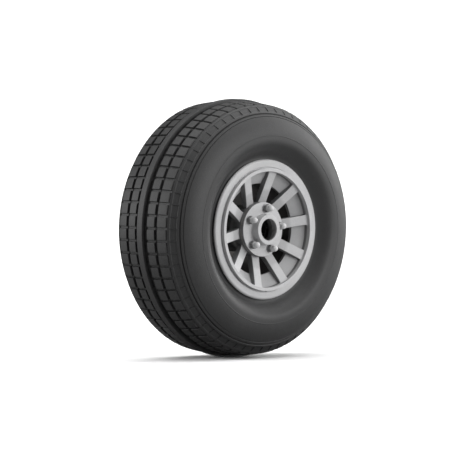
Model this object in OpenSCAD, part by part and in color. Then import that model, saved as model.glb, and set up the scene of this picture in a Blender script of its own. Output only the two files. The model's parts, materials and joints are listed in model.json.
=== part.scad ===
// Main wheel of an aircraft: a block-tread tyre with its inner tube on a
// ten-spoke cast wheel with one removable flange, turning on two tapered
// roller bearings about a hollow axle sleeve.
//
// Millimetres. The origin is the centre of the wheel, the axle lies along Y,
// the outboard side faces -Y and +Z is up. Every turned profile is a list of
// [radius, distance outboard of the middle plane].

/* [Tyre outside] */
// Radius over the centre rib
tyre_r = 343; // [335:1:360]
// Half of the section width
tyre_half_w = 145.5; // [142:0.5:150]
// Height of the widest point above the bead seat
widest_h = 69.2; // [60:0.2:76]
// How far the shoulder starts below the top of the outer blocks
shoulder_step = 2.7; // [1.5:0.1:4]
// Width of the centre rib
rib_w = 19.4; // [16:0.2:26]
// How far the centre rib stands above the blocks beside it
rib_proud = 5.5; // [2:0.5:8]
// Radius of the crown across the tread
crown_arc_r = 560; // [450:10:900]

/* [Tread] */
// Width of the groove on each side of the centre rib
centre_groove_w = 12.8; // [8:0.2:13]
// Depth of the tread grooves
tread_depth = 8; // [5:0.5:9]
// Width of a block in the inner rows
block_w = 26.2; // [25:0.1:28]
// Width of a block in the outer rows
outer_block_w = 28.5; // [26:0.1:30]
// Gap between the two rows of blocks
row_gap = 9.6; // [8:0.1:12]
// Width of the fine groove outside the outer row
edge_groove_w = 3.5; // [2.5:0.1:4.5]
// Depth of the fine groove outside the outer row
edge_groove_depth = 4; // [2:0.5:6]
// Number of blocks round the tyre
pitches = 62; // [48:1:72]
// Width of the grooves across the tread
cross_groove_w = 6.8; // [4:0.2:8]
// How much shallower the cross grooves are than the others
cross_groove_rise = 3; // [1:0.5:4]
// Angle of the first cross groove
pitch_phase = 4; // [0:0.1:5.8]

/* [Tyre rings] */
// Angles on the shoulder ellipse between which the shoulder is hollowed
cove_angles = [49, 40.2];
// Depth of the hollow in the shoulder
cove_depth = 2; // [1:0.1:2.5]
// Angle of the broad groove under the hollow
wide_ring_angle = 36.7; // [36:0.1:37.5]
// Depth of the broad groove
wide_ring_depth = 2.5; // [1.5:0.1:3]
// Angle of the narrow groove under the broad one
narrow_ring_angle = 32.4; // [29:0.1:33]
// Depth of the narrow groove
narrow_ring_depth = 1.2; // [0.6:0.1:1.8]
// Height of the fine raised ring above the widest point
side_ring_step = 13.5; // [8:0.5:30]
// Height of the fine raised ring
side_ring_h = 0.6; // [0.3:0.1:1]

/* [Tyre foot] */
// Height above the flange edge at which the sidewall turns in
foot_h = 12.8; // [10:0.1:14]
// How far the sidewall lies inboard of the flange back where it turns in
foot_in = 1.3; // [1:0.1:3]
// How far the gutter beside the flange lies inboard of the flange back
gutter_in = 5.8; // [5:0.1:8]

/* [Tyre inside] */
// Rubber and cord under the tread grooves
crown_wall = 14; // [10:0.5:18]
// Sidewall thickness at the widest point
side_wall = 11; // [8:0.5:14]
// Width of the bead on its seat
bead_w = 22; // [18:0.5:24]
// Inner tube wall
tube_wall = 3.5; // [2:0.5:5]

/* [Rim] */
// Radius of the bead seats
seat_r = 166.8; // [164:0.1:170]
// Height of the flange above the bead seat
flange_h = 18.9; // [17:0.1:21]
// Distance of the flange edge from the middle plane
flange_at = 125.7; // [123:0.1:129]
// Thickness of the flange at its edge
flange_edge_t = 7.4; // [7.2:0.1:8]
// Rounding of the flange edge on its face
flange_round = 6; // [3:0.1:6]
// Thickness of the removable flange under the bead
flange_foot_t = 4; // [3.6:0.1:5]
// Thickness of the rim lip that shows on the outboard side
lip_t = 9; // [7:0.1:10]
// How far the rim lip stands out beyond the flange edge
lip_stand = 9.5; // [8:0.1:11]
// Length of the slope between the well and the bead seats
well_slope_l = 23; // [16:0.5:30]
// Casting thickness between the well and the brake drum
rim_wall = 10; // [8:0.5:14]
// Edge chamfer on turned parts
edge_c = 1; // [0.4:0.1:1.6]

/* [Flange lock ring] */
// Width of the lock ring and its groove
lock_ring_w = 4; // [3:0.5:5]
// Depth of the lock ring groove
lock_groove_depth = 2.7; // [2:0.1:3.5]
// How far the lock ring stands above the rim base
lock_ring_proud = 2.6; // [1.8:0.1:3]
// How far the lock ring lies behind the flange face
lock_ring_sink = 0.5; // [0.2:0.1:1]
// Gap between the lock ring and the mouth of the removable flange
lock_ring_gap = 0.4; // [0.2:0.1:0.8]
// Opening in the split rings
split_gap = 6; // [3:0.5:12]

/* [Web and spokes] */
// Number of spokes
spokes = 10; // [8:1:11]
// Width of a spoke
spoke_w = 26; // [20:0.5:30]
// Depth of a spoke
spoke_t = 17.5; // [14:0.5:19]
// How far the spoke face lies behind the hub face
spoke_in_drop = 6; // [4:0.5:10]
// How far the spoke face lies behind the rim lip
spoke_out_drop = 9; // [6:0.5:12]
// Chamfer along the spokes
spoke_c = 1.2; // [0.5:0.1:2]
// How far the outer edge of the web ring lies behind the rim lip
web_out_drop = 20.5; // [18:0.5:23]
// How far the web ring slopes back from its outer to its inner edge
web_fall = 17.8; // [14:0.2:20]
// Angle of the first spoke above level, seen from outboard
spoke_phase = 8; // [0:1:35]

/* [Brake drum] */
// Space between the drum flange and the rim lip, where the valve comes out
valve_space = 17; // [16:0.5:20]
// Height of the drum flange
drum_flange_h = 9.5; // [8:0.5:12]
// Thickness of the drum
drum_wall = 6; // [4:0.5:7]
// Thickness of the drum flange
drum_flange_t = 6; // [4:0.5:8]
// How far the drum flange seat lies inside the rim lip
drum_recess = 36; // [30:0.5:38]
// Thickness of the web ring at its inner edge
web_t = 9; // [7:0.5:12]
// Number of drum bolts
drum_bolts_n = 10; // [8:1:12]
// Diameter of the drum bolts
drum_bolt_d = 6; // [5:0.5:6]
// How far the drum reaches inboard of its flange
drum_skirt_l = 19; // [10:1:24]
// Thickness of the drum inboard of its flange
drum_skirt_t = 3.4; // [2.5:0.1:3.5]
// Gap between the bolt heads and the edge of the drum flange
drum_bolt_edge = 0.2; // [0.1:0.1:0.6]
// Length of thread in the casting
drum_bolt_grip = 16; // [10:1:20]

/* [Hub] */
// How far the hub reaches beyond the stud circle
hub_margin = 15.5; // [14:0.1:18]
// Wall of the hub barrel round the bearing cups
hub_wall = 14.8; // [12:0.1:18]
// Height of the shoulders behind the bearing cups
cup_shoulder_h = 6.2; // [5.5:0.1:6.6]
// Room between the sleeve end and the hub face
cover_room = 10; // [8:0.5:14]

/* [Hub cover] */
// Thickness of the cover
cover_t = 9.4; // [7:0.1:12]
// Gasket thickness
gasket_t = 0.8; // [0.4:0.1:1.5]
// Gap between the boss and the washers
boss_gap = 4.2; // [3:0.1:5]
// Length of the boss beyond the cover
boss_l = 23.5; // [20:0.1:25]
// Gap between the axle and the opening in the boss
axle_gap = 0.2; // [0.1:0.1:1]
// Wall of the boss
boss_wall = 4.7; // [4:0.1:7]
// Thickness of the boss end
boss_end_t = 6; // [4:0.5:9]
// Depth of the spigot that centres the cover
spigot_l = 4; // [2:0.5:6]

/* [Cover fasteners] */
// Number of studs
studs_n = 5; // [4:1:6]
// Metal between the bearing cup bore and the stud holes
stud_land = 2.8; // [2.4:0.1:4]
// Stud diameter
stud_d = 12; // [10:0.5:12]
// Stud length in the hub
stud_grip = 21; // [15:1:24]
// Clearance of the stud holes in the cover, on the radius
stud_clear = 0.5; // [0.2:0.1:0.8]
// Width of the washer round its hole
washer_w = 5.3; // [4.5:0.1:5.8]
// Washer thickness
washer_t = 2.4; // [1.6:0.1:3]
// Cap nut size across flats
nut_flats = 19; // [18:0.5:20]
// Height of the hexagon of the cap nut
nut_hex_h = 9.5; // [8:0.5:11]
// Diameter of the dome of the cap nut
dome_d = 17.6; // [16.5:0.1:18]
// Height of the whole cap nut
nut_h = 26; // [23:0.5:28]
// Radius of the crown of the cap nut
nut_crown_r = 10.9; // [10:0.1:12]

/* [Bearings] */
// Bore radius of the axle sleeve
axle_r = 28.575; // [27.5:0.005:29]
// Wall of the axle sleeve
sleeve_wall = 3.175; // [2.5:0.025:4]
// Height from the bore of the cone to the outside of the cup
bearing_h = 15.48; // [14.5:0.02:17]
// Width over cup and cone
bearing_w = 19.05; // [18.6:0.05:20]
// Width of the cup
cup_w = 15; // [14:0.1:15.6]
// Distance of the cup shoulders from the middle plane
cup_shoulder_at = 59; // [56:0.5:62]
// Slope of the roller axes
roller_slope = 13; // [12:0.1:13.6]
// Mean wall of the cup and of the cone
race_wall = 3.74; // [3.5:0.02:4.2]
// Width of the bearing beyond its rollers
roller_room = 6.65; // [6:0.05:8]
// Gap between neighbouring rollers
roller_gap = 2.3; // [1.8:0.1:3]
// Running clearance of the rollers on the races
roller_clear = 0.03; // [0.02:0.01:0.06]
// Cage thickness
cage_t = 1.4; // [1:0.1:1.8]
// Clearance of the rollers in the cage
cage_clear = 0.25; // [0.15:0.05:0.4]

/* [Axle sleeve fittings] */
// Height of the sleeve collar
collar_h = 6.2; // [5.5:0.1:7]
// How far the collar stands out of the hub
collar_proud = 3; // [1:0.5:6]
// Wall of the spacer tube
spacer_wall = 3.7; // [2.5:0.1:4]
// Thickness of the tab washer
tab_washer_t = 1.5; // [1:0.1:2.5]
// Height of the bearing nut round the sleeve
bearing_nut_h = 8.2; // [7:0.1:9]
// Thickness of the bearing nut
bearing_nut_t = 10; // [8:0.5:12]
// Sleeve length beyond the bearing nut
sleeve_tail = 4.5; // [2:0.5:6]

/* [Grease seal] */
// Gap between the inboard bearing and the seal
seal_gap = 1.2; // [0.8:0.1:2]
// Width of the seal case
seal_w = 9; // [8:0.5:10]
// Sheet thickness of the seal case
seal_sheet = 1; // [0.6:0.1:1.4]
// Clearance of the felt on the collar
felt_clear = 0.1; // [0.05:0.01:0.3]
// Snap ring thickness
snap_ring_t = 2.3; // [1.5:0.1:3]
// Depth of the snap ring groove
snap_groove_depth = 2.3; // [1.5:0.1:3]
// Metal between the snap ring groove and the barrel end
snap_land = 3.5; // [2.5:0.1:5]

/* [Valve] */
// Diameter of the valve stem
valve_d = 8; // [6:0.5:8.5]
// How far the valve stands out of the rim
valve_stand = 28; // [22:0.5:30]
// Size of the valve nut across flats
valve_nut_flats = 13; // [11:0.5:13]
// Height of the valve nut
valve_nut_h = 5; // [3:0.5:7]
// Diameter of the valve cap
valve_cap_d = 11; // [10:0.5:12]
// Length of the valve cap
valve_cap_l = 12; // [8:0.5:14]

/* [Hidden] */

tyre_grey = [0.16, 0.16, 0.165];
cast_grey = [0.66, 0.66, 0.67];
steel_grey = [0.45, 0.46, 0.48];
dark_steel = [0.12, 0.12, 0.13];
brass_yellow = [0.72, 0.6, 0.35];
tube_grey = [0.12, 0.12, 0.12];
board_brown = [0.5, 0.42, 0.3];
felt_brown = [0.55, 0.5, 0.4];

// Radii, from the axle outwards
cone_bore_r = axle_r + sleeve_wall;
spacer_r = cone_bore_r + spacer_wall;
collar_r = cone_bore_r + collar_h;
bearing_nut_r = cone_bore_r + bearing_nut_h;
cup_r = cone_bore_r + bearing_h;
hub_waist_r = cup_r - cup_shoulder_h;
barrel_r = cup_r + hub_wall;
stud_hole_r = stud_d / 2 + stud_clear;
stud_circle_r = cup_r + stud_land + stud_hole_r;
hub_r = stud_circle_r + hub_margin;
washer_r = stud_hole_r + washer_w;
boss_r = stud_circle_r - washer_r - boss_gap;
boss_mouth_r = axle_r + axle_gap;
nut_room_r = boss_r - boss_wall;
snap_groove_r = cup_r + snap_groove_depth;

// Radii, from the bead seat inwards and outwards
flange_r = seat_r + flange_h;
widest_r = seat_r + widest_h;
rim_base_r = seat_r - flange_foot_t;
lip_in_r = rim_base_r - lip_t;
drum_flange_r = lip_in_r - valve_space;
drum_out_r = drum_flange_r - drum_flange_h;
drum_in_r = drum_out_r - drum_wall;
well_r = drum_out_r + rim_wall;
valve_at_r = (drum_flange_r + lip_in_r) / 2;
lock_ring_in_r = rim_base_r - lock_groove_depth;
lock_ring_out_r = rim_base_r + lock_ring_proud;
flange_mouth_r = lock_ring_out_r + lock_ring_gap;

// Tread stations, measured from the middle plane
block1_from = rib_w / 2 + centre_groove_w;
block1_to = block1_from + block_w;
block2_from = block1_to + row_gap;
block2_to = block2_from + outer_block_w;
shoulder_from = block2_to + edge_groove_w;
rib_draft = 1;
rib_round = 0.6;

// Stations of the rim, from the flange edge inwards and outwards
flange_back_at = flange_at - flange_edge_t;
bead_lean = 1.5;
bead_toe_at = flange_back_at - bead_lean - bead_w;
seat_edge_at = bead_toe_at - 2;
flange_foot_at = seat_edge_at - 1;
well_half_w = flange_foot_at - well_slope_l;
lip_at = flange_at + lip_stand;
lock_groove_out = flange_at - lock_ring_sink;
lock_groove_in = lock_groove_out - lock_ring_w;
drum_seat_at = lip_at - drum_recess;
web_out_at = lip_at - web_out_drop;
web_in_at = web_out_at - web_fall;
drum_stop_at = web_in_at - web_t;
drum_skirt_r = drum_in_r + drum_skirt_t;
drum_end_at = drum_seat_at + drum_flange_t + drum_skirt_l;

// Stations of the bearings and the hub, from the cup shoulders outwards
cone_back_at = cup_shoulder_at + bearing_w;
nut_face_at = cone_back_at + tab_washer_t;
sleeve_out_at = nut_face_at + bearing_nut_t + sleeve_tail;
hub_face_at = sleeve_out_at + cover_room;
cover_back_at = hub_face_at + gasket_t;
cover_face_at = cover_back_at + cover_t;
boss_end_at = cover_face_at + boss_l;
nut_seat_at = cover_face_at + washer_t;
nut_bore_l = nut_hex_h + 6;
stud_room = 3;

// Stations of the seal, measured inboard of the middle plane
seal_in_at = cone_back_at + seal_gap;
snap_in_at = seal_in_at + seal_w;
snap_out_at = snap_in_at + snap_ring_t;
barrel_end_at = snap_out_at + snap_land;
sleeve_in_at = barrel_end_at + collar_proud;
snap_ring_w = 4.9;
seal_lip_gap = 2.5;

// Bearing geometry: every roller axis and race line meets the wheel axis at
// one apex, measured from the small face of the bearing
roller_d = bearing_h - 2 * race_wall;
roller_l = bearing_w - roller_room;
roller_circle_r = (cone_bore_r + cup_r) / 2;
rollers_n = floor(2 * PI * roller_circle_r / (roller_d + roller_gap));
roller_set = 0.2;
roller_mid_at = bearing_w / 2 - roller_set;
apex_l = roller_circle_r / sin(roller_slope);
roller_taper = atan(roller_d / 2 / apex_l);
apex_at = roller_mid_at - roller_circle_r / tan(roller_slope);
cone_small_at = 1.5;
rib_gap = 0.15;
rib_h = 2.3;
roller_end_s = roller_l / 2 + rib_gap;
roller_end_r = (apex_l + roller_l / 2) * tan(roller_taper);
rib_foot = [roller_circle_r + roller_end_s * sin(roller_slope) - roller_end_r * cos(roller_slope),
    roller_mid_at + roller_end_s * cos(roller_slope) + roller_end_r * sin(roller_slope)];
rib_top_r = rib_foot[0] + rib_h;
rib_top_at = rib_foot[1] - rib_h * tan(roller_slope);
cage_end_w = 1.8;
cage_reach = roller_l / 2 + cage_end_w;

// Spokes
spoke_in_at = hub_face_at - spoke_in_drop;
spoke_out_at = lip_at - spoke_out_drop;
spoke_slope = atan((spoke_out_at - spoke_in_at) / (lip_in_r - hub_r));
spoke_root = 12;
hub_skirt_drop = 5;
hub_skirt_at = spoke_in_at - spoke_t - hub_skirt_drop;
hub_taper_l = 24;

// Fasteners and small parts
bolt_flats = 10;
bolt_head_h = 4;
drum_bolt_circle = drum_flange_r - bolt_flats / 2 / cos(30) - drum_bolt_edge;
boss_c = 1.6 * edge_c;
nut_slots = 6;
nut_slot_w = 7;
nut_slot_depth = 4;
cap_end_t = 2;
valve_tip_at = drum_seat_at + valve_stand;
valve_base_at = well_half_w - 2;
valve_angle = spoke_phase + 180 / spokes;
lock_gap_angle = 270;
turn_steps = 180;
split_cut = 20;
gasket_inset = 0.4;
function stud_angle(i) = spoke_phase + i * 360 / studs_n;
function drum_bolt_angle(i) = spoke_phase + i * 360 / drum_bolts_n;

// ---------------------------------------------------------------- helpers

// Turns a [radius, outboard distance] profile about the axle
module turned(points, steps = turn_steps) {
    rotate([90, 0, 0]) rotate_extrude($fn = steps) polygon(points);
}

// Places its children, drawn with Z outboard, at an angle seen from outboard
module at_angle(angle) {
    rotate([90, 0, 0]) rotate([0, 0, angle]) children();
}

// A prism with its axis along Z, on the circle of radius r, between two stations
module rod(r, angle, from, to, d, steps = 40) {
    at_angle(angle) translate([r, 0, from]) cylinder(d = d, h = to - from, $fn = steps);
}

function inboard(points) = [for (p = points) [p[0], -p[1]]];
function backwards(list) = [for (i = [len(list) - 1:-1:0]) list[i]];
function mix3(a, b, c, d, t) = pow(1 - t, 3) * a + 3 * pow(1 - t, 2) * t * b
    + 3 * (1 - t) * t * t * c + pow(t, 3) * d;
function curve(a, b, c, d, steps) = [for (i = [1:steps]) mix3(a, b, c, d, i / steps)];

// Moves each point of a closed clockwise outline along its inward normal
function inset(points, d) = let (n = len(points)) [for (i = [0:n - 1])
    let (along = points[(i + 1) % n] - points[(i + n - 1) % n])
    points[i] + d * [along[1], -along[0]] / norm(along)];

// ---------------------------------------------------------------- tyre shape

function crown(w) = tyre_r - rib_proud - (w * w - block1_from * block1_from) / (2 * crown_arc_r);
shoulder_reach = sqrt(1 - pow(shoulder_from / tyre_half_w, 2));
shoulder_h = (crown(block2_to) - shoulder_step - widest_r) / shoulder_reach;
function shoulder_point(angle, sink = 0) =
    [widest_r + (shoulder_h - sink) * sin(angle), (tyre_half_w - sink) * cos(angle)];
function shoulder_r(w) = widest_r + shoulder_h * sqrt(1 - pow(w / tyre_half_w, 2));
function across(from, to, steps) =
    [for (i = [0:steps]) let (w = from + (to - from) * i / steps) [crown(w), w]];

shoulder_start = acos(shoulder_from / tyre_half_w);
wide_ring_half = 1.2;
narrow_ring_half = 0.6;
side_ring_half = 0.5;

// The seat of the bead, from its toe to where it leaves the back of the flange
heel_l = 11.5;
heel_h = 9;
seat_points = concat([[seat_r, bead_toe_at], [seat_r, flange_back_at - heel_l]],
    curve([seat_r, flange_back_at - heel_l], [seat_r, flange_back_at - heel_l / 2],
        [seat_r + heel_h / 2, flange_back_at - bead_lean], [seat_r + heel_h, flange_back_at - bead_lean], 4));

tread_points = concat(
    [[tyre_r, 0], [tyre_r, rib_w / 2 - rib_round], [tyre_r - rib_round, rib_w / 2],
        [crown(block1_from) - tread_depth, rib_w / 2 + rib_draft],
        [crown(block1_from) - tread_depth, block1_from]],
    across(block1_from, block1_to, 3),
    [[crown(block1_to) - tread_depth, block1_to], [crown(block2_from) - tread_depth, block2_from]],
    across(block2_from, block2_to, 3),
    [[crown(block2_to) - edge_groove_depth, block2_to],
        [shoulder_r(shoulder_from) - edge_groove_depth, shoulder_from]]);

function shoulder_run(from, to, steps, sink = 0) =
    [for (i = [0:steps]) shoulder_point(from + (to - from) * i / steps, sink)];
side_ring_angle = asin(side_ring_step / shoulder_h);

shoulder_points = concat(
    shoulder_run(shoulder_start, cove_angles[0], 1),
    shoulder_run(cove_angles[0] - 1, cove_angles[1] + 1, 3, cove_depth),
    shoulder_run(cove_angles[1], wide_ring_angle + wide_ring_half, 2),
    [shoulder_point(wide_ring_angle, wide_ring_depth)],
    shoulder_run(wide_ring_angle - wide_ring_half, narrow_ring_angle + narrow_ring_half, 1),
    [shoulder_point(narrow_ring_angle, narrow_ring_depth)],
    shoulder_run(narrow_ring_angle - narrow_ring_half, side_ring_angle + side_ring_half, 8),
    [shoulder_point(side_ring_angle, -side_ring_h), shoulder_point(side_ring_angle - side_ring_half),
        shoulder_point(0)]);

// The sidewall falls steeply to its foot and turns into a gutter beside the
// flange, which it leaves at the top of the bead's heel
foot = [flange_r + foot_h, flange_back_at - foot_in];
gutter = [flange_r + 3, flange_back_at - gutter_in];
gutter_end = [flange_r - 5, flange_back_at - gutter_in + 1];
lower_side = concat(
    curve([widest_r, tyre_half_w], [widest_r - 18, tyre_half_w], foot + [8, 7], foot, 8),
    curve(foot, foot - [2.7, 2.4], gutter + [4, 0.6], gutter, 3), [gutter_end]);

tyre_outside = concat(tread_points, shoulder_points, lower_side, backwards(seat_points));

// The cavity, from above the bead toe to the crown
cavity_crown_r = tyre_r - rib_proud - tread_depth - crown_wall;
cavity_w = tyre_half_w - side_wall;
cavity_power = 2 / 2.6;
cavity_points = concat([[seat_r + 4, bead_toe_at + 0.5]],
    curve([seat_r + 4, bead_toe_at + 0.5], [seat_r + 29, bead_toe_at + 2],
        [widest_r - 14, cavity_w - 18], [widest_r, cavity_w], 7),
    [for (i = [1:11]) let (a = i * 90 / 12)
        [widest_r + (cavity_crown_r - widest_r) * pow(sin(a), cavity_power),
            cavity_w * pow(cos(a), cavity_power)]],
    [[cavity_crown_r, 0]]);

module tyre() {
    outline = concat(tyre_outside, cavity_points);
    cutter_from = block1_from - centre_groove_w / 2;
    cutter_to = block2_to + edge_groove_w / 2;
    cutter = [[crown(block1_from) - tread_depth + cross_groove_rise, cutter_from],
        [crown(block2_to) - tread_depth + cross_groove_rise, cutter_to],
        [tyre_r + 5, cutter_to], [tyre_r + 5, cutter_from]];
    color(tyre_grey) difference() {
        turned(concat(outline, backwards(inboard([for (i = [1:len(outline) - 2]) outline[i]]))));
        for (i = [0:pitches - 1]) at_angle(pitch_phase + i * 360 / pitches) {
            rotate([90, 0, 0]) linear_extrude(cross_groove_w, center = true) polygon(cutter);
            rotate([90, 0, 0]) linear_extrude(cross_groove_w, center = true) polygon(inboard(cutter));
        }
    }
}

// Outer contour of the inner tube: the rim well, a bridge clear of the bead
// toes from a point on the well's slope, and the tyre cavity
bridge_share = 0.7;
tube_half = concat([[well_r, well_half_w],
        [well_r + bridge_share * (rim_base_r - well_r), well_half_w + bridge_share * well_slope_l]],
    [for (i = [1:len(cavity_points) - 1]) cavity_points[i]]);
tube_outside = concat(tube_half, backwards(inboard([for (i = [0:len(tube_half) - 2]) tube_half[i]])));
tube_inside = inset(tube_outside, tube_wall);

module inner_tube() {
    color(tube_grey) difference() {
        rotate([90, 0, 0]) rotate_extrude($fn = turn_steps) difference() {
            polygon(tube_outside);
            polygon(tube_inside);
        }
        rod(valve_at_r, valve_angle, -well_half_w - 20, -well_half_w + 20, valve_d);
    }
}

module valve_stem() {
    color(brass_yellow) rod(valve_at_r, valve_angle, -valve_tip_at, -valve_base_at, valve_d);
}

module valve_nut() {
    out = -drum_seat_at - valve_nut_h;
    color(brass_yellow) difference() {
        rod(valve_at_r, valve_angle, out, -drum_seat_at, valve_nut_flats / cos(30), 6);
        rod(valve_at_r, valve_angle, out - 1, -drum_seat_at + 1, valve_d);
    }
}

module valve_cap() {
    end = -valve_tip_at - cap_end_t;
    color(dark_steel) difference() {
        rod(valve_at_r, valve_angle, end, end + valve_cap_l, valve_cap_d);
        rod(valve_at_r, valve_angle, -valve_tip_at, -valve_tip_at + valve_cap_l, valve_d);
    }
}

// The rounded edge that both flanges share, from the tyre side to the face
flange_edge = concat(
    [[flange_r - edge_c, flange_back_at], [flange_r, flange_back_at + edge_c],
        [flange_r, flange_at - flange_round]],
    curve([flange_r, flange_at - flange_round], [flange_r, flange_at - 0.45 * flange_round],
        [flange_r - 0.45 * flange_round, flange_at], [flange_r - flange_round, flange_at], 6));

rim_outline = concat(
    [[lip_in_r, web_out_at], [lip_in_r, lip_at - edge_c], [lip_in_r + edge_c, lip_at],
        [rim_base_r - edge_c, lip_at], [rim_base_r, lip_at - edge_c],
        [rim_base_r, lock_groove_out], [lock_ring_in_r, lock_groove_out],
        [lock_ring_in_r, lock_groove_in], [rim_base_r, lock_groove_in],
        [rim_base_r, flange_foot_at], [well_r, well_half_w],
        [well_r, -well_half_w], [rim_base_r, -flange_foot_at], [seat_r, -seat_edge_at]],
    inboard(seat_points), inboard(flange_edge),
    [[lip_in_r + edge_c, -lip_at], [lip_in_r, -lip_at + edge_c],
        [lip_in_r, -drum_seat_at], [drum_out_r, -drum_seat_at],
        [drum_out_r, drum_stop_at], [drum_in_r, drum_stop_at], [drum_in_r, web_in_at]]);

hub_outline = [[hub_r, hub_face_at], [hub_r, hub_skirt_at], [barrel_r, hub_skirt_at - hub_taper_l],
    [barrel_r, -barrel_end_at + edge_c], [barrel_r - edge_c, -barrel_end_at],
    [cup_r, -barrel_end_at], [cup_r, -snap_out_at], [snap_groove_r, -snap_out_at],
    [snap_groove_r, -snap_in_at], [cup_r, -snap_in_at], [cup_r, -cup_shoulder_at],
    [hub_waist_r, -cup_shoulder_at], [hub_waist_r, cup_shoulder_at],
    [cup_r, cup_shoulder_at], [cup_r, hub_face_at]];

// One spoke, lying along +X with its face sloping outboard to the rim
module spoke() {
    half = spoke_w / 2;
    length = (lip_in_r - hub_r + 2 * spoke_root) / cos(spoke_slope);
    translate([hub_r - spoke_root, 0, spoke_in_at - spoke_root * tan(spoke_slope)])
        rotate([0, -spoke_slope, 0]) rotate([90, 0, 90]) linear_extrude(length)
            polygon([[-half + spoke_c, 0], [-half, -spoke_c], [-half, -spoke_t], [half, -spoke_t],
                [half, -spoke_c], [half - spoke_c, 0]]);
}

module wheel_casting() {
    color(cast_grey) difference() {
        union() {
            turned(rim_outline);
            turned(hub_outline);
            rotate([90, 0, 0]) intersection() {
                for (i = [0:spokes - 1]) rotate([0, 0, spoke_phase + i * 360 / spokes]) spoke();
                cylinder(r = (lip_in_r + rim_base_r) / 2, h = lip_at, $fn = turn_steps);
            }
        }
        for (i = [0:studs_n - 1])
            rod(stud_circle_r, stud_angle(i), hub_face_at - stud_grip - stud_room, hub_face_at + 1, stud_d);
        for (i = [0:drum_bolts_n - 1])
            rod(drum_bolt_circle, drum_bolt_angle(i), -drum_seat_at - 1, -drum_seat_at + drum_bolt_grip + 2,
                drum_bolt_d);
        rod(valve_at_r, valve_angle, -drum_seat_at - 1, -well_half_w, valve_d + 0.6);
    }
}

module outer_flange() {
    color(cast_grey) turned(concat(
        [[rim_base_r, flange_foot_at], [seat_r, seat_edge_at]], seat_points, flange_edge,
        [[flange_mouth_r + edge_c, flange_at], [flange_mouth_r, flange_at - edge_c],
            [flange_mouth_r, lock_groove_in], [rim_base_r, lock_groove_in]]));
}

module flange_lock_ring() {
    color(steel_grey) difference() {
        turned([[lock_ring_in_r, lock_groove_in], [lock_ring_out_r, lock_groove_in],
            [lock_ring_out_r, lock_groove_out], [lock_ring_in_r, lock_groove_out]]);
        at_angle(lock_gap_angle) translate([rim_base_r, 0, lock_groove_in])
            cube([split_cut, split_gap, split_cut], center = true);
    }
}

module brake_drum() {
    color(dark_steel) difference() {
        turned([[drum_in_r, drum_stop_at], [drum_out_r, drum_stop_at], [drum_out_r, -drum_seat_at],
            [drum_flange_r, -drum_seat_at], [drum_flange_r, -drum_seat_at - drum_flange_t],
            [drum_skirt_r, -drum_seat_at - drum_flange_t], [drum_skirt_r, -drum_end_at],
            [drum_in_r, -drum_end_at]]);
        for (i = [0:drum_bolts_n - 1])
            rod(drum_bolt_circle, drum_bolt_angle(i), -drum_seat_at - drum_flange_t - 1, -drum_seat_at + 1,
                drum_bolt_d);
    }
}

module drum_bolts() {
    head_at = -drum_seat_at - drum_flange_t;
    color(steel_grey) for (i = [0:drum_bolts_n - 1]) union() {
        rod(drum_bolt_circle, drum_bolt_angle(i), head_at - 1, -drum_seat_at + drum_bolt_grip, drum_bolt_d);
        rod(drum_bolt_circle, drum_bolt_angle(i), head_at - bolt_head_h, head_at, bolt_flats / cos(30), 6);
    }
}

module hub_cover() {
    color(cast_grey) difference() {
        turned([[nut_room_r, hub_face_at - spigot_l], [cup_r, hub_face_at - spigot_l],
            [cup_r, cover_back_at], [hub_r, cover_back_at],
            [hub_r, cover_face_at - edge_c], [hub_r - edge_c, cover_face_at],
            [boss_r, cover_face_at], [boss_r, boss_end_at - boss_c], [boss_r - boss_c, boss_end_at],
            [boss_mouth_r + edge_c, boss_end_at], [boss_mouth_r, boss_end_at - edge_c],
            [boss_mouth_r, boss_end_at - boss_end_t], [nut_room_r, boss_end_at - boss_end_t]]);
        for (i = [0:studs_n - 1])
            rod(stud_circle_r, stud_angle(i), cover_back_at - 1, cover_face_at + 1, 2 * stud_hole_r);
    }
}

module cover_gasket() {
    color(board_brown) difference() {
        turned([[cup_r, hub_face_at], [hub_r - gasket_inset, hub_face_at],
            [hub_r - gasket_inset, cover_back_at], [cup_r, cover_back_at]]);
        for (i = [0:studs_n - 1])
            rod(stud_circle_r, stud_angle(i), hub_face_at - 1, cover_back_at + 1, 2 * stud_hole_r);
    }
}

module cover_studs() {
    color(steel_grey) for (i = [0:studs_n - 1])
        rod(stud_circle_r, stud_angle(i), hub_face_at - stud_grip, nut_seat_at + nut_hex_h, stud_d);
}

module cover_washers() {
    color(steel_grey) for (i = [0:studs_n - 1]) difference() {
        rod(stud_circle_r, stud_angle(i), cover_face_at, nut_seat_at, 2 * washer_r);
        rod(stud_circle_r, stud_angle(i), cover_face_at - 1, nut_seat_at + 1, 2 * stud_hole_r);
    }
}

module cover_cap_nuts() {
    color(cast_grey) for (i = [0:studs_n - 1]) difference() {
        union() {
            rod(stud_circle_r, stud_angle(i), nut_seat_at, nut_seat_at + nut_hex_h, nut_flats / cos(30), 6);
            intersection() {
                rod(stud_circle_r, stud_angle(i), nut_seat_at + 0.5, nut_seat_at + nut_h, dome_d);
                at_angle(stud_angle(i)) translate([stud_circle_r, 0, nut_seat_at + nut_h - nut_crown_r])
                    sphere(nut_crown_r, $fn = 48);
            }
        }
        rod(stud_circle_r, stud_angle(i), nut_seat_at - 1, nut_seat_at + nut_bore_l, stud_d);
    }
}

// Places a bearing part, drawn from its small face, in the outboard (1) or inboard (-1) seat
module in_seat(side) {
    rotate([90, 0, 0]) scale_side(side) translate([0, 0, cup_shoulder_at]) children();
}

module scale_side(side) {
    if (side > 0) children();
    else mirror([0, 0, 1]) children();
}

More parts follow.
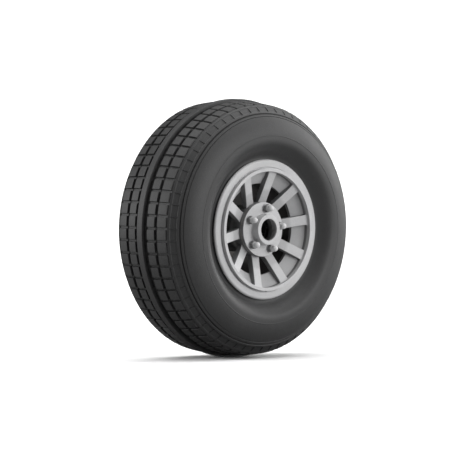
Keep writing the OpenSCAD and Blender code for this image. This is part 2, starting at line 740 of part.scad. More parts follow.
function race_out(t) = (t - apex_at) * tan(roller_slope + roller_taper)
    + roller_clear / cos(roller_slope + roller_taper);
function race_in(t) = (t - apex_at) * tan(roller_slope - roller_taper)
    - roller_clear / cos(roller_slope - roller_taper);
function by_roller(s, x) = [roller_circle_r + s * sin(roller_slope) + x * cos(roller_slope),
    roller_mid_at + s * cos(roller_slope) - x * sin(roller_slope)];

module bearing_cup() {
    rotate_extrude($fn = turn_steps)
        polygon([[race_out(0), 0], [cup_r, 0], [cup_r, cup_w], [race_out(cup_w), cup_w]]);
}

module bearing_cone() {
    rotate_extrude($fn = turn_steps)
        polygon([[cone_bore_r, cone_small_at], [race_in(cone_small_at), cone_small_at],
            [race_in(rib_foot[1]), rib_foot[1]], [rib_top_r, rib_top_at], [rib_top_r, bearing_w],
            [cone_bore_r, bearing_w]]);
}

module roller_ring(grow = 0) {
    for (i = [0:rollers_n - 1]) rotate([0, 0, i * 360 / rollers_n])
        translate([roller_circle_r, 0, roller_mid_at]) rotate([0, roller_slope, 0])
            cylinder(h = roller_l + 2 * grow, r1 = (apex_l - roller_l / 2) * tan(roller_taper) + grow,
                r2 = (apex_l + roller_l / 2) * tan(roller_taper) + grow, center = true, $fn = 32);
}

module bearing_cage() {
    difference() {
        rotate_extrude($fn = turn_steps)
            polygon([by_roller(-cage_reach, -cage_t / 2), by_roller(-cage_reach, cage_t / 2),
                by_roller(cage_reach, cage_t / 2), by_roller(cage_reach, -cage_t / 2)]);
        roller_ring(cage_clear);
    }
}

module outboard_cup() { color(steel_grey) in_seat(1) bearing_cup(); }
module inboard_cup() { color(steel_grey) in_seat(-1) bearing_cup(); }
module outboard_cone() { color(steel_grey) in_seat(1) bearing_cone(); }
module inboard_cone() { color(steel_grey) in_seat(-1) bearing_cone(); }
module outboard_rollers() { color(steel_grey) in_seat(1) roller_ring(); }
module inboard_rollers() { color(steel_grey) in_seat(-1) roller_ring(); }
module outboard_cage() { color(brass_yellow) in_seat(1) bearing_cage(); }
module inboard_cage() { color(brass_yellow) in_seat(-1) bearing_cage(); }

module seal_case() {
    lip_r = collar_r + seal_lip_gap;
    color(steel_grey) turned([[cup_r, -seal_in_at], [cup_r, -snap_in_at], [lip_r, -snap_in_at],
        [lip_r, -snap_in_at + seal_sheet], [cup_r - seal_sheet, -snap_in_at + seal_sheet],
        [cup_r - seal_sheet, -seal_in_at]]);
}

module seal_felt() {
    color(felt_brown) turned([[collar_r + felt_clear, -seal_in_at], [cup_r - seal_sheet, -seal_in_at],
        [cup_r - seal_sheet, -snap_in_at + seal_sheet], [collar_r + felt_clear, -snap_in_at + seal_sheet]]);
}

module seal_snap_ring() {
    color(steel_grey) difference() {
        turned([[snap_groove_r - snap_ring_w, -snap_out_at], [snap_groove_r, -snap_out_at],
            [snap_groove_r, -snap_in_at], [snap_groove_r - snap_ring_w, -snap_in_at]]);
        at_angle(lock_gap_angle) translate([cup_r, 0, -snap_in_at])
            cube([split_cut, split_gap, split_cut], center = true);
    }
}

module axle_sleeve() {
    color(steel_grey) turned([[axle_r, -sleeve_in_at], [collar_r - edge_c, -sleeve_in_at],
        [collar_r, -sleeve_in_at + edge_c], [collar_r, -cone_back_at], [cone_bore_r, -cone_back_at],
        [cone_bore_r, sleeve_out_at - edge_c], [cone_bore_r - edge_c, sleeve_out_at],
        [axle_r, sleeve_out_at]]);
}

module cone_spacer() {
    reach = cup_shoulder_at + cone_small_at;
    color(steel_grey) turned([[cone_bore_r, -reach], [spacer_r, -reach],
        [spacer_r, reach], [cone_bore_r, reach]]);
}

module tab_washer() {
    color(steel_grey) turned([[cone_bore_r, cone_back_at], [collar_r, cone_back_at],
        [collar_r, nut_face_at], [cone_bore_r, nut_face_at]]);
}

module bearing_nut() {
    color(steel_grey) difference() {
        turned([[cone_bore_r, nut_face_at], [bearing_nut_r, nut_face_at],
            [bearing_nut_r, nut_face_at + bearing_nut_t], [cone_bore_r, nut_face_at + bearing_nut_t]]);
        for (i = [0:nut_slots - 1]) at_angle(i * 360 / nut_slots)
            translate([bearing_nut_r, 0, nut_face_at + bearing_nut_t / 2])
                cube([2 * nut_slot_depth, nut_slot_w, bearing_nut_t + 2], center = true);
    }
}

tyre();
inner_tube();
valve_stem();
valve_nut();
valve_cap();
wheel_casting();
outer_flange();
flange_lock_ring();
brake_drum();
drum_bolts();
hub_cover();
cover_gasket();
cover_studs();
cover_washers();
cover_cap_nuts();
outboard_cup();
inboard_cup();
seal_case();
seal_felt();
seal_snap_ring();
outboard_rollers();
outboard_cage();
inboard_rollers();
inboard_cage();
axle_sleeve();
cone_spacer();
outboard_cone();
inboard_cone();
tab_washer();
bearing_nut();
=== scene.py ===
import json
import math
import bpy
import numpy as np
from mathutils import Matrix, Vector


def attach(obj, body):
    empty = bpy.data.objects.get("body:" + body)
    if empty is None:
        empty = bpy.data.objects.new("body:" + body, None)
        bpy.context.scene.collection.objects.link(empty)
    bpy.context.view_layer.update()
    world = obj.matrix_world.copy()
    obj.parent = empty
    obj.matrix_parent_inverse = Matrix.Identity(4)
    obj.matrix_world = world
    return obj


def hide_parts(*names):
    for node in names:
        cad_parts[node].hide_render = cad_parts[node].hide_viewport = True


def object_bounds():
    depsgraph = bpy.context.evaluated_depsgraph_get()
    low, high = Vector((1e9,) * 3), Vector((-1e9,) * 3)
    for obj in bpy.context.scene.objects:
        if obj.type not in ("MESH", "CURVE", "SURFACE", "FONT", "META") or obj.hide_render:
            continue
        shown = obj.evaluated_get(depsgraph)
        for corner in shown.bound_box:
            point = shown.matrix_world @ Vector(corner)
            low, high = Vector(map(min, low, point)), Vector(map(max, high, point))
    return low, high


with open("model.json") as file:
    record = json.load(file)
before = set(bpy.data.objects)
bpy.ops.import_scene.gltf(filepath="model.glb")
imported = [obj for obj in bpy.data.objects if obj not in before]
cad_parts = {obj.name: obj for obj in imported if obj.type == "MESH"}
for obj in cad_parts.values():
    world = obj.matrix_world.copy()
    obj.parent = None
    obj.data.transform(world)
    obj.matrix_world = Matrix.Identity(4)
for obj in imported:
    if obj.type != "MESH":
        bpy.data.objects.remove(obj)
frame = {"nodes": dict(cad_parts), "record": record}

# Aircraft main wheel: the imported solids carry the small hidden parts, and the tyre, castings, lock ring,
# drum, cover and cap nuts are drawn again here as smooth surfaces with soft edges. Profiles are in mm.
cadLow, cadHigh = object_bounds()
nodes = frame["nodes"]
mm = 0.001

lookAt = {"azimuth": -43.9, "elevation": 2.6, "distance": 30.0, "widthSeen": 1.2158,
          "aimRight": -0.0106, "aimUp": -0.0027, "sensorWidth": 36, "clipEnd": 200}


# Faces between neighbouring rows of points; the columns close on themselves, and so do the rows if asked
def ringFaces(rows, columns, closeRows=False, start=0):
    index = start + np.arange(rows * columns).reshape(rows, columns)
    below = np.roll(index, -1, axis=0) if closeRows else index[1:]
    above = index if closeRows else index[:-1]
    quads = np.stack([above, np.roll(above, -1, axis=1), np.roll(below, -1, axis=1), below], axis=-1)
    return quads.reshape(-1, 4)


# Turns radius and outboard distance about the axle: (r cos a, -w, r sin a)
def aboutAxle(radius, outboard, angle):
    return np.stack([radius * np.cos(angle), -outboard + 0 * angle, radius * np.sin(angle)], axis=-1)


# Rounds each corner of a closed outline by the parabola (1-t)^2 a + 2t(1-t) corner + t^2 b, where a and b
# lie on the two edges, a distance soft from the corner
def softOutline(outline, soft, steps=3, mostOfEdge=0.45):
    corner = np.array(outline, float)
    toLast = np.roll(corner, 1, axis=0) - corner
    toNext = np.roll(corner, -1, axis=0) - corner
    lastLength = np.linalg.norm(toLast, axis=1)
    nextLength = np.linalg.norm(toNext, axis=1)
    cut = np.minimum(soft, mostOfEdge * np.minimum(lastLength, nextLength))
    a = (corner + toLast * (cut / lastLength)[:, None])[:, None]
    b = (corner + toNext * (cut / nextLength)[:, None])[:, None]
    t = np.linspace(0, 1, steps + 1)[None, :, None]
    return ((1 - t) ** 2 * a + 2 * t * (1 - t) * corner[:, None] + t ** 2 * b).reshape(-1, 2)


# Six times the volume that the faces enclose, which is negative where they point inwards
def signedVolume(points, faces):
    first = points[faces[:, 0]]
    halves = ((faces[:, 1], faces[:, 2]), (faces[:, 2], faces[:, 3]))
    return sum(np.einsum("ij,ij->", first, np.cross(points[b], points[c])) for b, c in halves)


# A mesh object from millimetre points, rows of four-sided faces and any others that go the same way round
def newMesh(name, points, quads, others=()):
    mesh = bpy.data.meshes.new(name)
    faces = quads.tolist() + list(others)
    if signedVolume(points, quads) < 0:
        faces = [face[::-1] for face in faces]
    mesh.from_pydata((points * mm).tolist(), [], faces)
    mesh.update()
    piece = bpy.data.objects.new(name, mesh)
    bpy.context.scene.collection.objects.link(piece)
    return piece


# A closed outline turned once about the axle
def turnedMesh(name, outline, soft, columns=240, steps=3):
    profile = softOutline(outline, soft, steps)
    angle = np.linspace(0, 2 * math.pi, columns, endpoint=False)
    points = aboutAxle(profile[:, :1], profile[:, 1:], angle[None, :])
    return newMesh(name, points.reshape(-1, 3), ringFaces(len(profile), columns, closeRows=True))


# Turns points round the axle by an angle t: (x cos t - z sin t, -w, x sin t + z cos t)
def turnedRound(x, z, outboard, turn):
    return np.stack([x * np.cos(turn) - z * np.sin(turn) + 0 * outboard, -outboard + 0 * (x + turn),
                     x * np.sin(turn) + z * np.cos(turn) + 0 * outboard], axis=-1)


# Straight round rods on a circle about the axle: centre + rod radius (cos b, sin b), between two stations
def rodsMesh(name, circle, angles, fromW, toW, diameter, sides=48):
    b = np.linspace(0, 2 * math.pi, sides, endpoint=False)
    x = circle + diameter / 2 * np.cos(b)
    z = diameter / 2 * np.sin(b)
    turn = np.array(angles)[:, None, None]
    w = np.array([fromW, toW])[None, :, None]
    points = turnedRound(x, z, w, turn)
    rods = len(angles)
    sideFaces = np.concatenate([ringFaces(2, sides, start=2 * sides * i) for i in range(rods)])
    rings = np.arange(rods * 2 * sides).reshape(rods, 2, sides)
    caps = np.concatenate([rings[:, 0, ::-1], rings[:, 1]])
    return newMesh(name, points.reshape(-1, 3), sideFaces, caps.tolist())


# Joins or cuts closed meshes and keeps the result as plain mesh data
def combine(piece, other, how):
    step = piece.modifiers.new("combine", "BOOLEAN")
    step.operation = how
    step.solver = "EXACT"
    step.object = other
    result = bpy.data.meshes.new_from_object(piece.evaluated_get(bpy.context.evaluated_depsgraph_get()))
    piece.modifiers.clear()
    piece.data = result
    bpy.data.objects.remove(other)


# Cuts round holes of one size out of a piece, on a circle about the axle and between two stations
def drill(piece, circle, angles, fromW, toW, diameter, sides):
    combine(piece, rodsMesh("holes", circle, angles, fromW, toW, diameter, sides), "DIFFERENCE")


# Smooth shading that leaves flat faces flat, then the piece takes its node's place, body and finish
def finishPiece(piece, node, material, sharpAbove=40):
    piece.data.polygons.foreach_set("use_smooth", np.ones(len(piece.data.polygons), bool))
    piece.data.set_sharp_from_angle(angle=math.radians(sharpAbove))
    even = piece.modifiers.new("even shading", "WEIGHTED_NORMAL")
    even.keep_sharp = True
    piece.data.materials.clear()
    piece.data.materials.append(material)
    nodeBody = next(b for b, members in frame["record"]["behaviour"]["bodies"].items() if node in members)
    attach(piece, nodeBody)
    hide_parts(node)


# A material with a coordinate output to build on and helpers to add and join nodes
class Finish:
    def __init__(self, name, roughness, metallic=0.0, specular=0.5):
        self.material = bpy.data.materials.new(name)
        self.material.use_nodes = True
        self.tree = self.material.node_tree
        self.shader = self.tree.nodes["Principled BSDF"]
        self.shader.inputs["Roughness"].default_value = roughness
        self.shader.inputs["Metallic"].default_value = metallic
        self.shader.inputs["Specular IOR Level"].default_value = specular
        self.coordinates = self.add("ShaderNodeTexCoord")
        self.place = self.coordinates.outputs["Object"]

    # A new node with the settings given
    def add(self, kind, **settings):
        node = self.tree.nodes.new(kind)
        for key, value in settings.items():
            setattr(node, key, value)
        return node

    def join(self, source, target):
        self.tree.links.new(source, target)

    # Cloudy noise from 0 to 1, with scale spots in a metre
    def noise(self, scale, detail=3.0, rough=0.55, place=None):
        node = self.add("ShaderNodeTexNoise")
        node.inputs["Scale"].default_value = scale
        node.inputs["Detail"].default_value = detail
        node.inputs["Roughness"].default_value = rough
        self.join(place or self.place, node.inputs["Vector"])
        return node.outputs["Fac"]

    # Joins two values by a sum, product, maximum or the like
    def maths(self, how, first, second):
        node = self.add("ShaderNodeMath", operation=how)
        for value, socket in zip((first, second), node.inputs):
            if isinstance(value, (int, float)):
                socket.default_value = value
            else:
                self.join(value, socket)
        return node.outputs[0]

    # Distance from the axle, sqrt(x^2 + z^2), and the distance along it
    def fromAxle(self):
        split = self.add("ShaderNodeSeparateXYZ")
        self.join(self.place, split.inputs[0])
        flat = self.add("ShaderNodeCombineXYZ")
        self.join(split.outputs["X"], flat.inputs["X"])
        self.join(split.outputs["Z"], flat.inputs["Z"])
        away = self.add("ShaderNodeVectorMath", operation="LENGTH")
        self.join(flat.outputs[0], away.inputs[0])
        return away.outputs["Value"], split.outputs["Y"]

    # Spreads a 0 to 1 value between two colours, from one stop to the other
    def blend(self, value, dark, light, fromStop=0.3, toStop=0.7):
        ramp = self.add("ShaderNodeValToRGB")
        ramp.color_ramp.elements[0].position = fromStop
        ramp.color_ramp.elements[1].position = toStop
        ramp.color_ramp.elements[0].color = (*dark, 1)
        ramp.color_ramp.elements[1].color = (*light, 1)
        self.join(value, ramp.inputs["Fac"])
        return ramp.outputs["Color"]

    # low + (high - low) (value - fromLow) / (fromHigh - fromLow), held between low and high
    def spread(self, value, low, high, fromLow=0.0, fromHigh=1.0):
        node = self.add("ShaderNodeMapRange")
        for key, number in (("From Min", fromLow), ("From Max", fromHigh), ("To Min", low), ("To Max", high)):
            node.inputs[key].default_value = number
        self.join(value, node.inputs["Value"])
        return node.outputs["Result"]

    # (1 - share) first + share second, or the product or the like of the two, taken by that share
    def mixed(self, share, first, second, how="MIX"):
        node = self.add("ShaderNodeMix", data_type="RGBA", blend_type=how)
        colourSockets = node.inputs[0], node.inputs[6], node.inputs[7]
        for value, socket in zip((share, first, second), colourSockets):
            if isinstance(value, (int, float)):
                socket.default_value = value
            elif isinstance(value, tuple):
                socket.default_value = (*value, 1)
            else:
                self.join(value, socket)
        return node.outputs[2]

    # A normal that tilts with the slope of height, where 1 stands for distance in metres
    def bump(self, height, distance, strength):
        node = self.add("ShaderNodeBump")
        node.inputs["Distance"].default_value = distance
        node.inputs["Strength"].default_value = strength
        self.join(height, node.inputs["Height"])
        return node.outputs["Normal"]


# Distances from the axle are in metres and groove depths in millimetres
rubberLook = {"dark": (0.018, 0.018, 0.0185), "light": (0.025, 0.025, 0.0255), "cloudScale": 9,
              "grainScale": 420, "grainDepth": 0.00025, "speckle": (0.75, 1.15), "roughness": (0.5, 0.64),
              "paintedSheen": (0.04, 0.04, 0.0405), "paintedSheenShare": 0.8, "paintedSheenFade": (0.204, 0.224),
              "grooveShade": (0.003, 0.003, 0.003), "grooveShadeShare": 0.6, "grooveShadeDepths": (0.3, 1.2),
              "gloss": 0.45, "grooveShadeGloss": 0.12}


# Black rubber, a little paler beside the flange as a painted sheen, and darker in the moulded grooves of the
# sidewall as painted shade
def tyreRubber():
    look = rubberLook
    finish = Finish("tyre rubber", roughness=0.55, specular=look["gloss"])
    cloudy = finish.noise(look["cloudScale"], detail=5)
    grain = finish.noise(look["grainScale"], detail=2)
    base = finish.blend(cloudy, look["dark"], look["light"])
    speckle = finish.blend(grain, *((tone,) * 3 for tone in look["speckle"]), 0.35, 0.7)
    base = finish.mixed(1.0, base, speckle, "MULTIPLY")
    away = finish.fromAxle()[0]
    # painted sheen: the rubber turns lighter towards the flange, between the two radii of the fade, standing
    # for light that falls there
    base = finish.mixed(finish.spread(away, look["paintedSheenShare"], 0, *look["paintedSheenFade"]), base, look["paintedSheen"])
    # painted shade: the deeper a point lies in a moulded groove, the darker and less glossy the rubber,
    # standing for the shade in the grooves
    recess = finish.add("ShaderNodeAttribute", attribute_name="recess").outputs["Fac"]
    grooveShade = finish.spread(recess, 0, look["grooveShadeShare"], *look["grooveShadeDepths"])
    finish.join(finish.mixed(grooveShade, base, look["grooveShade"]), finish.shader.inputs["Base Color"])
    gloss = finish.spread(grooveShade, look["gloss"], look["grooveShadeGloss"])
    finish.join(gloss, finish.shader.inputs["Specular IOR Level"])
    finish.join(finish.spread(cloudy, *look["roughness"]), finish.shader.inputs["Roughness"])
    finish.join(finish.bump(grain, look["grainDepth"], 0.6), finish.shader.inputs["Normal"])
    return finish.material


# Stations, radii and fades are in metres; a fade runs from its first value to its second
alloyLook = {"dark": (0.42, 0.42, 0.425), "light": (0.47, 0.47, 0.475), "cloudScale": 14, "grainScale": 700,
             "grainDepth": 0.0002, "speckle": (0.86, 1.08), "roughness": (0.44, 0.58),
             "shade": (0.03, 0.03, 0.031), "faceStations": (0.097, 0.125), "faceRadii": (0.062, 0.157),
             "leastStation": 0.113, "pocketEdge": (0.155, 0.156), "wallNormals": (0.25, 0.9),
             "wallFade": (-0.0002, 0.0006), "wallShare": 0.42, "webFade": (0.002, 0.005), "webShare": 0.78,
             "nutHighlight": (0.8, 0.8, 0.8), "nutHighlightShare": 0.35, "shadedFootShare": 0.25, "shadedFootFade": 0.0004}


# How much of the alloy's own tone is left, the rest going to the dark tone as painted shade: all of it on the
# spokes' faces, less on the pocket walls behind them, whose normals lie square to the axle, and a little less
# on all that lies deep, such as the web ring. The faces are taken to lie at a station of max(113, 97 + 0.295
# (r - 62)) mm
def pocketShare(finish, away, along):
    look = alloyLook
    facing = finish.add("ShaderNodeSeparateXYZ")
    finish.join(finish.coordinates.outputs["Normal"], facing.inputs[0])
    wall = finish.spread(finish.maths("ABSOLUTE", facing.outputs["Y"], 0), 1, 0, *look["wallNormals"])
    slope = finish.spread(away, *look["faceStations"], *look["faceRadii"])
    depth = finish.maths("ADD", along, finish.maths("MAXIMUM", slope, look["leastStation"]))
    within = finish.spread(away, 1, 0, *look["pocketEdge"])
    pocket = finish.maths("MULTIPLY", finish.spread(depth, 0, 1, *look["wallFade"]), within)
    onWalls = finish.spread(finish.maths("MULTIPLY", wall, pocket), 1, look["wallShare"])
    deep = finish.maths("MULTIPLY", within, finish.spread(depth, 0, 1, *look["webFade"]))
    return finish.maths("MULTIPLY", onWalls, finish.spread(deep, 1, look["webShare"]))


# Grey cast alloy with painted shade in its pockets; with a station given, it is a brighter alloy as a painted
# highlight, darkened inboard of that station as painted shade
def castAlloy(name="cast alloy", shadedBelow=None):
    look = alloyLook
    finish = Finish(name, roughness=0.5, specular=0.3)
    grain = finish.noise(look["grainScale"], detail=3)
    cloudy = finish.noise(look["cloudScale"], detail=4)
    base = finish.blend(cloudy, look["dark"], look["light"])
    speckle = finish.blend(grain, *((tone,) * 3 for tone in look["speckle"]), 0.3, 0.7)
    away, along = finish.fromAxle()
    if shadedBelow is None:
        share = pocketShare(finish, away, along)
    else:
        # painted shade on the hexagons inboard of the station, and a painted highlight: the whole nut is
        # lightened towards the nut tone
        edge, fade = -shadedBelow * mm, look["shadedFootFade"]
        share = finish.spread(along, 1, look["shadedFootShare"], edge - fade, edge + fade)
        base = finish.mixed(look["nutHighlightShare"], base, look["nutHighlight"])
    base = finish.mixed(1.0, base, speckle, "MULTIPLY")
    # painted shade: where the share is under 1 the colour goes towards the dark shade tone
    finish.join(finish.mixed(share, look["shade"], base), finish.shader.inputs["Base Color"])
    finish.join(finish.spread(cloudy, *look["roughness"]), finish.shader.inputs["Roughness"])
    finish.join(finish.bump(grain, look["grainDepth"], 0.5), finish.shader.inputs["Normal"])
    return finish.material


# A swing is how far the roughness goes to either side, and depths are in metres
stockLook = {"stainScale": 35, "stainTone": 0.8, "ringDepth": 0.00005, "ringSwing": (0.08, 0.1),
             "cloudScale": 40, "swing": 0.07}


# Steel turned or ground about the axle: fine rings from noise of the distances from the axle and along it
def turnedSteel(name, tone, roughness, ringScale=900.0):
    finish = Finish(name, roughness=roughness, metallic=1.0)
    away, along = finish.fromAxle()
    rings = finish.add("ShaderNodeCombineXYZ")
    finish.join(away, rings.inputs["X"])
    finish.join(along, rings.inputs["Y"])
    lines = finish.noise(ringScale, detail=2, place=rings.outputs[0])
    stain = finish.noise(stockLook["stainScale"], detail=4)
    low = tuple(stockLook["stainTone"] * part for part in tone)
    finish.join(finish.blend(stain, low, tone), finish.shader.inputs["Base Color"])
    smoother, rougher = stockLook["ringSwing"]
    shine = finish.spread(lines, roughness - smoother, roughness + rougher)
    finish.join(shine, finish.shader.inputs["Roughness"])
    finish.join(finish.bump(lines, stockLook["ringDepth"], 0.4), finish.shader.inputs["Normal"])
    return finish.material


# Plain stock with a little grain, such as rubber, felt, gasket board or brass
def plainStock(name, low, high, roughness, metallic=0.0, grainScale=500.0, grainDepth=0.0001):
    finish = Finish(name, roughness=roughness, metallic=metallic)
    grain = finish.noise(grainScale, detail=3)
    cloudy = finish.noise(stockLook["cloudScale"], detail=3)
    finish.join(finish.blend(cloudy, low, high), finish.shader.inputs["Base Color"])
    shine = finish.spread(grain, roughness - stockLook["swing"], roughness + stockLook["swing"])
    finish.join(shine, finish.shader.inputs["Roughness"])
    finish.join(finish.bump(grain, grainDepth, 0.5), finish.shader.inputs["Normal"])
    return finish.material


rubber = tyreRubber()
alloy = castAlloy()
drumIron = turnedSteel("drum iron", (0.06, 0.057, 0.055), 0.5, 500.0)
brightSteel = turnedSteel("bright steel", (0.5, 0.5, 0.51), 0.35)
bearingSteel = turnedSteel("bearing steel", (0.56, 0.56, 0.57), 0.22, 1400.0)
brass = plainStock("brass", (0.5, 0.36, 0.14), (0.62, 0.47, 0.2), 0.35, metallic=1.0)
blackSteel = plainStock("blackened steel", (0.03, 0.03, 0.031), (0.05, 0.05, 0.052), 0.45, metallic=0.6)
tubeRubber = plainStock("tube rubber", (0.016, 0.016, 0.016), (0.024, 0.024, 0.024), 0.6)
gasketBoard = plainStock("gasket board", (0.18, 0.14, 0.09), (0.25, 0.2, 0.13), 0.8)
felt = plainStock("felt", (0.2, 0.18, 0.14), (0.3, 0.27, 0.22), 0.95, grainScale=900.0, grainDepth=0.0004)
slotFinish = {"tyre": rubber, "tube_rubber": tubeRubber, "brass": brass, "black_steel": blackSteel,
              "cast_alloy": alloy, "cap_alloy": alloy, "dark_steel": drumIron, "bright_steel": brightSteel,
              "bearing_steel": bearingSteel, "gasket": gasketBoard, "felt": felt}
for entry in frame["record"]["subparts"]:
    solid = nodes[entry["node"]]
    solid.data.materials.clear()
    # painted shade: the sleeve, nut and washer in the bore take the blackened steel in place of their own
    # finish, standing for the shade in the bore
    paintedShadeInBore = entry["node"] in ("axle_sleeve", "bearing_nut", "tab_washer")
    solid.data.materials.append(blackSteel if paintedShadeInBore else slotFinish[entry["material_slot"]])
print("finishes made")


tyre = {"radius": 343.0, "halfWidth": 145.5, "widestRadius": 236.0, "ribWidth": 19.4, "ribProud": 5.5,
        "crownArc": 560.0, "ribGroove": 12.8, "treadDepth": 8.0, "blockWidth": 26.2, "outerBlock": 28.5,
        "rowGap": 9.6, "edgeGroove": 3.5, "edgeDepth": 4.0, "shoulderStep": 2.7, "blocks": 62,
        "crossGroove": 6.8, "crossRise": 3.0, "firstGroove": 4.0, "blockEdge": 0.9, "grooveFoot": 0.8,
        "draft": 0.3, "coveFrom": 49.0, "coveTo": 40.2, "coveDepth": 2.4, "coveBar": 0.9,
        "wideRing": (36.7, 1.2, 2.5), "narrowRing": (32.4, 0.6, 1.2), "sideRing": (13.5, 0.5, 0.6),
        "crownWall": 14.0, "sideWall": 11.0, "footRadius": 198.5, "footAt": 117.0, "gutterRadius": 188.7,
        "gutterAt": 112.5, "seatRadius": 166.8, "toeAt": 94.8, "sideDrop": 18, "footPull": (7, 8),
        "footTurn": (2.4, 2.7), "gutterPull": (0.6, 4), "roofPower": 2.6}
flange = {"radius": 185.7, "back": 118.3, "face": 125.7, "round": 6.0, "backEdge": 1.0, "heelLength": 11.5,
          "heelHeight": 9.0, "lean": 1.5}


# Cubic curve through a hull of four corners: (1-t)^3 a + 3(1-t)^2 t b + 3(1-t)t^2 c + t^3 d
def hullCurve(a, b, c, d, steps):
    t = np.linspace(0, 1, steps + 1)[1:, None]
    a, b, c, d = (np.array(corner, float) for corner in (a, b, c, d))
    return (1 - t) ** 3 * a + 3 * (1 - t) ** 2 * t * b + 3 * (1 - t) * t ** 2 * c + t ** 3 * d


# Height of the block tops over the axle: a shallow arc across the tread
def crownRadius(w):
    firstBlock = tyre["ribWidth"] / 2 + tyre["ribGroove"]
    return tyre["radius"] - tyre["ribProud"] - (w * w - firstBlock ** 2) / (2 * tyre["crownArc"])


# One edge of a block with the groove beside it: a rounded top edge, the drafted wall and a filleted foot;
# side is 1 where the groove lies outboard of the edge and -1 where it lies inboard
def blockWall(edge, side, top, floor):
    soft = tyre["blockEdge"]
    turn = np.radians([90, 50, 10])
    upper = np.stack([edge - side * soft * (1 - np.cos(turn)), top - soft * (1 - np.sin(turn))], axis=-1)
    foot = tyre["grooveFoot"]
    wall = edge + side * tyre["draft"]
    rows = np.concatenate([upper, [[wall, floor + foot], [wall + side * foot, floor]]])
    return rows if side > 0 else rows[::-1]


# Half of the tread from the middle of the rib to the end of the hollow in the shoulder: rows of
# [distance, radius], how much of each row a cross groove removes, and how far each lies in the hollow
def treadRows():
    rib = tyre["ribWidth"] / 2
    block1 = rib + tyre["ribGroove"]
    block1End = block1 + tyre["blockWidth"]
    block2 = block1End + tyre["rowGap"]
    block2End = block2 + tyre["outerBlock"]
    shoulder = block2End + tyre["edgeGroove"]
    depth = tyre["treadDepth"]
    ribFloor = crownRadius(block1) - depth
    edgeFloor = crownRadius(block2End) - tyre["edgeDepth"]

    def blockTop(fromW, toW):
        w = np.linspace(fromW, toW, 4)[1:-1]
        return np.stack([w, crownRadius(w)], axis=-1)

    start, end = tyre["coveFrom"], tyre["coveTo"]
    # the hollow sinks from its upper end to its full depth just above its lower end
    angles = np.concatenate([[(shoulderAngle(shoulder) + start) / 2, start, start - 0.3, start - 0.7],
                             np.linspace(start - 1.2, end + 1.1, 5), [end + 0.6, end + 0.25, end, end - 0.4]])
    sink = tyre["coveDepth"] * np.array([0, 0, 0.12, 0.4, 0.55, 0.7, 0.8, 0.9, 1, 0.75, 0.15, 0, 0])
    rows = np.concatenate([
        [[0.0, tyre["radius"]], [rib * 0.55, tyre["radius"]]],
        blockWall(rib, 1, tyre["radius"], ribFloor),
        blockWall(block1, -1, crownRadius(block1), ribFloor), blockTop(block1, block1End),
        blockWall(block1End, 1, crownRadius(block1End), crownRadius(block1End) - depth),
        blockWall(block2, -1, crownRadius(block2), crownRadius(block2) - depth), blockTop(block2, block2End),
        blockWall(block2End, 1, crownRadius(block2End), edgeFloor),
        blockWall(shoulder, -1, shoulderRadius(shoulder), edgeFloor), shoulderPoints(angles)])
    sunk = np.zeros_like(rows)
    sunk[-len(angles):] = shoulderPoints(angles) - shoulderPoints(angles, -sink)
    floorRadii = [ribFloor + tyre["crossRise"], crownRadius(block2End) - depth + tyre["crossRise"]]
    # a cross groove is cut from beside the rib to the shoulder, to a straight floor above the long grooves'
    cut = rows[:, 1] - np.interp(rows[:, 0], [block1, block2End], floorRadii)
    cut = np.where((rows[:, 0] > rib + 2) & (rows[:, 0] < shoulder - 1.5), np.maximum(cut, 0), 0)
    return rows, cut, sunk


# Height of the shoulder's ellipse, set so that it meets the tread a step below the edge of the blocks:
# (radius there - widest radius) / sqrt(1 - (w / half width)^2)
def shoulderHeight():
    block2End = (tyre["ribWidth"] / 2 + tyre["ribGroove"] + tyre["blockWidth"] + tyre["rowGap"]
                 + tyre["outerBlock"])
    reach = math.sqrt(1 - ((block2End + tyre["edgeGroove"]) / tyre["halfWidth"]) ** 2)
    return (crownRadius(block2End) - tyre["shoulderStep"] - tyre["widestRadius"]) / reach


# The shoulder is a quarter ellipse: widest radius + height sqrt(1 - (w / half width)^2)
def shoulderRadius(w):
    return tyre["widestRadius"] + shoulderHeight() * np.sqrt(1 - (w / tyre["halfWidth"]) ** 2)


# The ellipse's angle at a distance w from the middle: acos(w / half width)
def shoulderAngle(w):
    return math.degrees(math.acos(w / tyre["halfWidth"]))


# The same ellipse by its angle, moved out: [(a + out) cos t, widest radius + (b + out) sin t]
def shoulderPoints(angles, out=0.0):
    turn = np.radians(angles)
    return np.stack([(tyre["halfWidth"] + out) * np.cos(turn),
                     tyre["widestRadius"] + (shoulderHeight() + out) * np.sin(turn)], axis=-1)


# The bead's seat and heel, from the toe to the back of the flange, as [distance, radius]
def heelRows():
    back, seat, tall = flange["back"], tyre["seatRadius"], flange["heelHeight"]
    start, top = back - flange["heelLength"], back - flange["lean"]
    bend = hullCurve([start, seat], [(start + back) / 2, seat], [top, seat + tall / 2], [top, seat + tall], 5)
    return np.concatenate([[[start, seat]], bend])


